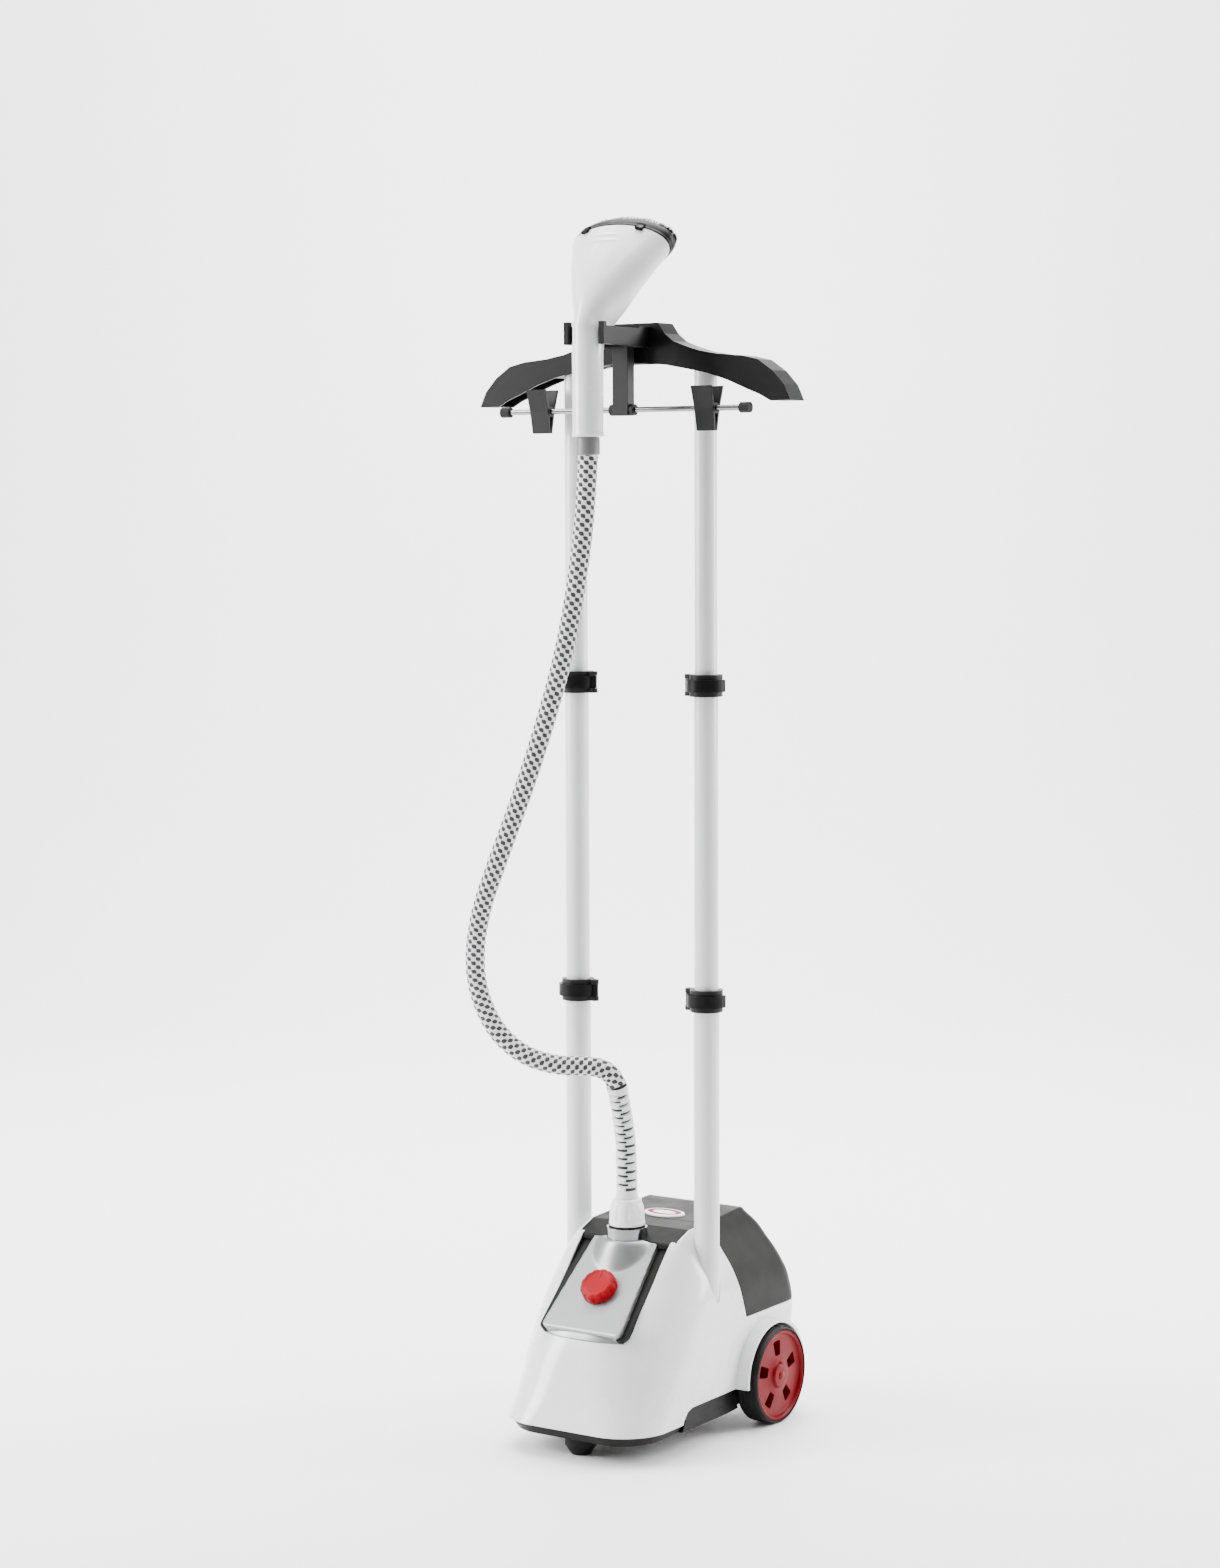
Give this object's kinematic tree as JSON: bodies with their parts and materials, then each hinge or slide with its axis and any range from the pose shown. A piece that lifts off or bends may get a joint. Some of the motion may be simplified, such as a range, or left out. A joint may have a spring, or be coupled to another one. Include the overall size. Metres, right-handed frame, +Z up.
{
  "type": "garment steamer",
  "caption": "Upright garment steamer with a wheeled base, twin telescopic poles, a hanger with trouser clips, and a steam wand on a patterned fabric hose.",
  "frame": {"origin": "on the floor under the middle of the object, without the hose", "axes": "+Z up, front with the control panel towards -Y, +X to the right seen from the front"},
  "size_m": [0.456, 0.386, 1.5148],
  "materials": {
    "shell_white": "gloss",
    "panel_silver": "satin metallic paint",
    "charcoal": "satin",
    "chassis_black": "satin",
    "hanger_black": "satin",
    "clip_grey": "satin",
    "pole_white": "satin white coat",
    "chrome": "polished",
    "steel": "brushed",
    "aluminium_cast": "as cast",
    "red_knob": "satin gloss",
    "red_hub": "gloss",
    "tyre_black": "matte",
    "rubber_black": "matte",
    "sleeve_grey": "satin",
    "white_trim": "satin gloss",
    "silicone": "translucent",
    "hose_fabric": "woven white cloth with black dots",
    "bristle_black": "matte"
  },
  "bodies": {
    "base": {"base_tray": "chassis_black", "main_shell": "shell_white", "top_cover": "charcoal", "control_panel": "panel_silver", "hose_socket": "chrome", "socket_gasket": "rubber_black", "tank_bay": "chassis_black", "boiler": "aluminium_cast", "thermostats": "steel", "steam_tube": "steel", "feed_tube": "silicone", "rotary_switch": "chassis_black", "cord_gland": "rubber_black", "front_foot": "rubber_black", "wheel_axle": "steel", "pole_sockets": "chassis_black", "base_screws": "steel", "pole_lower_left": "pole_white", "pole_lower_right": "pole_white", "clamp_lower_left": "clip_grey", "clamp_lower_right": "clip_grey", "hose_nut": "white_trim", "hose_guard": "white_trim", "hose_lower": "hose_fabric"},
    "tank": {"water_tank": "charcoal", "badge_plate": "white_trim"},
    "tank_cap": {"tank_cap": "chassis_black"},
    "valve_pin": {"valve_pin": "steel"},
    "knob": {"control_knob": "red_knob", "knob_spindle": "steel"},
    "wheel_left": {"wheel_left_hub": "red_hub", "wheel_left_tyre": "tyre_black"},
    "wheel_right": {"wheel_right_hub": "red_hub", "wheel_right_tyre": "tyre_black"},
    "lever_lower_left": {"lever_lower_left": "hanger_black"},
    "lever_lower_right": {"lever_lower_right": "hanger_black"},
    "lever_upper_left": {"lever_upper_left": "hanger_black"},
    "lever_upper_right": {"lever_upper_right": "hanger_black"},
    "middle_left": {"pole_middle_left": "pole_white", "clamp_upper_left": "clip_grey"},
    "middle_right": {"pole_middle_right": "pole_white", "clamp_upper_right": "clip_grey"},
    "top": {"pole_top_left": "pole_white", "pole_top_right": "pole_white", "hanger": "hanger_black", "wand_fork": "hanger_black", "bracket_arm": "clip_grey", "crossbar": "chrome", "crossbar_rings": "rubber_black"},
    "clip_left": {"clip_back_left": "clip_grey"},
    "clip_right": {"clip_back_right": "clip_grey"},
    "clip_jaw_left": {"clip_jaw_left": "clip_grey"},
    "clip_jaw_right": {"clip_jaw_right": "clip_grey"},
    "wand": {"wand_shell": "shell_white", "steam_plate": "steel", "hose_sleeve": "sleeve_grey", "wand_steam_tube": "silicone", "hose_upper": "hose_fabric"},
    "brush": {"brush_frame": "hanger_black", "brush_bristles": "bristle_black"}
  },
  "joints": [
    {"name": "pole_telescope", "type": "slide", "parent": "base", "child": "top", "axis": [0, 0, 1], "range_m": [-0.58, 0], "deforming": ["hose_lower"]},
    {"name": "middle_left_slide", "type": "slide", "parent": "base", "child": "middle_left", "axis": [0, 0, 1], "range_m": [-0.29, 0]},
    {"name": "middle_right_slide", "type": "slide", "parent": "base", "child": "middle_right", "axis": [0, 0, 1], "range_m": [-0.29, 0]},
    {"name": "tank_lift", "type": "slide", "parent": "base", "child": "tank", "axis": [0, 0, 1], "range_m": [0, 0.14]},
    {"name": "tank_cap_turn", "type": "hinge", "parent": "tank", "child": "tank_cap", "pos_m": [0, 0.11, 0.15], "axis": [0, 0, 1], "range_deg": [0, 90]},
    {"name": "valve_pin_slide", "type": "slide", "parent": "tank_cap", "child": "valve_pin", "axis": [0, 0, 1], "range_m": [0, 0.004]},
    {"name": "knob_turn", "type": "hinge", "parent": "base", "child": "knob", "pos_m": [0, -0.1131, 0.20109], "axis": [0, -0.6717, 0.7408], "range_deg": [0, 270]},
    {"name": "wheel_left_spin", "type": "hinge", "parent": "base", "child": "wheel_left", "pos_m": [-0.122, 0.099, 0.0612], "axis": [1, 0, 0], "continuous": true},
    {"name": "wheel_right_spin", "type": "hinge", "parent": "base", "child": "wheel_right", "pos_m": [0.122, 0.099, 0.0612], "axis": [1, 0, 0], "continuous": true},
    {"name": "lever_lower_left_flip", "type": "hinge", "parent": "base", "child": "lever_lower_left", "pos_m": [-0.0705, -0.013, 0.554], "axis": [0, 0, 1], "range_deg": [0, 100]},
    {"name": "lever_lower_right_flip", "type": "hinge", "parent": "base", "child": "lever_lower_right", "pos_m": [0.0705, -0.013, 0.554], "axis": [0, 0, 1], "range_deg": [-100, 0]},
    {"name": "lever_upper_left_flip", "type": "hinge", "parent": "middle_left", "child": "lever_upper_left", "pos_m": [-0.0705, -0.013, 0.945], "axis": [0, 0, 1], "range_deg": [0, 100]},
    {"name": "lever_upper_right_flip", "type": "hinge", "parent": "middle_right", "child": "lever_upper_right", "pos_m": [0.0705, -0.013, 0.945], "axis": [0, 0, 1], "range_deg": [-100, 0]},
    {"name": "clip_left_slide", "type": "slide", "parent": "top", "child": "clip_left", "axis": [1, 0, 0], "range_m": [-0.028, 0.08]},
    {"name": "clip_right_slide", "type": "slide", "parent": "top", "child": "clip_right", "axis": [1, 0, 0], "range_m": [-0.08, 0.028]},
    {"name": "clip_jaw_left_open", "type": "hinge", "parent": "clip_left", "child": "clip_jaw_left", "pos_m": [-0.121, -0.05, 1.283], "axis": [1, 0, 0], "range_deg": [-25, 0], "stiffness_Nm_per_rad": 0.05},
    {"name": "clip_jaw_right_open", "type": "hinge", "parent": "clip_right", "child": "clip_jaw_right", "pos_m": [0.121, -0.05, 1.283], "axis": [1, 0, 0], "range_deg": [-25, 0], "stiffness_Nm_per_rad": 0.05},
    {"name": "wand_lift", "type": "slide", "parent": "top", "child": "wand", "axis": [0, 0, 1], "range_m": [0, 0.15], "deforming": ["hose_upper"]},
    {"name": "brush_pull", "type": "slide", "parent": "wand", "child": "brush", "axis": [0, 0.848, 0.5299], "range_m": [0, 0.03]}
  ],
  "couplings": [
    {"joint": "middle_left_slide", "follows": "pole_telescope", "ratio": 0.5},
    {"joint": "middle_right_slide", "follows": "pole_telescope", "ratio": 0.5}
  ]
}
